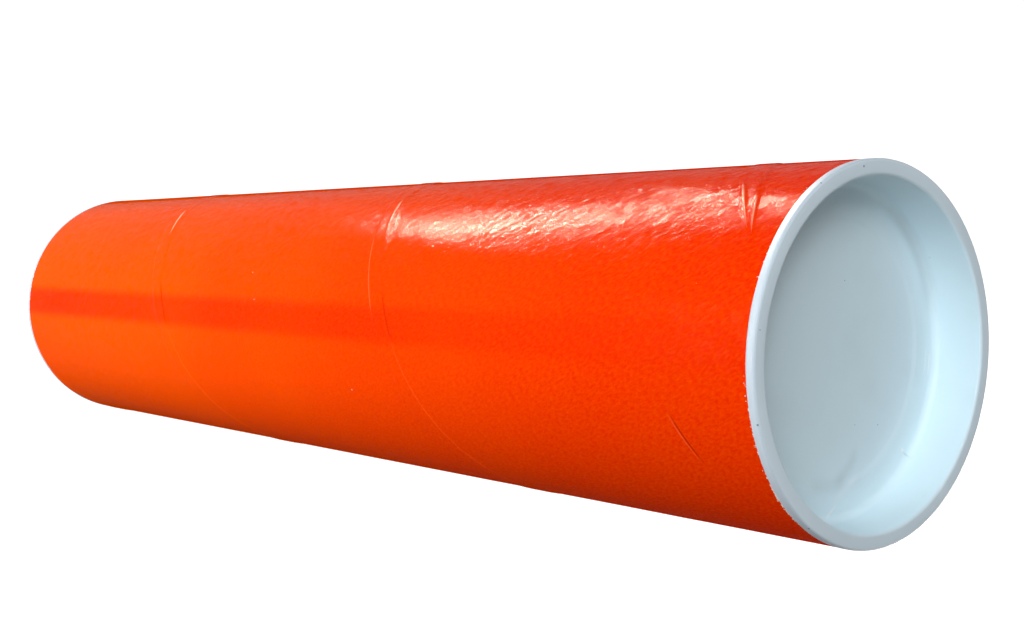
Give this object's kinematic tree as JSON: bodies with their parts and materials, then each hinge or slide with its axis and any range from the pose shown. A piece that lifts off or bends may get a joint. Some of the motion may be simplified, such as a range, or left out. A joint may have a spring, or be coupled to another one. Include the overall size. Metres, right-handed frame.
{
  "type": "mailing tube",
  "caption": "Round mailing tube of spirally wound board with a glossy orange wrap, closed at both ends by white push-in recessed plugs.",
  "frame": {"origin": "centre of the foot, on the outer face of the bottom plug's flange", "axes": "+Z along the tube's axis, from the bottom plug to the top plug"},
  "size_m": [0.1054, 0.1054, 0.455],
  "materials": {
    "wrapped_board": "glossy coated orange paper outside, plain board at the cut ends and in the bore",
    "plug_plastic": "satin white moulded polythene"
  },
  "bodies": {
    "tube_body": {"tube": "wrapped_board"},
    "top_plug_body": {"top_plug": "plug_plastic"},
    "bottom_plug_body": {"bottom_plug": "plug_plastic"}
  },
  "joints": [
    {"name": "top_plug_pull", "type": "slide", "parent": "tube_body", "child": "top_plug_body", "axis": [0, 0, 1], "range_m": [0, 0.06]},
    {"name": "bottom_plug_pull", "type": "slide", "parent": "tube_body", "child": "bottom_plug_body", "axis": [0, 0, -1], "range_m": [0, 0.06]}
  ]
}
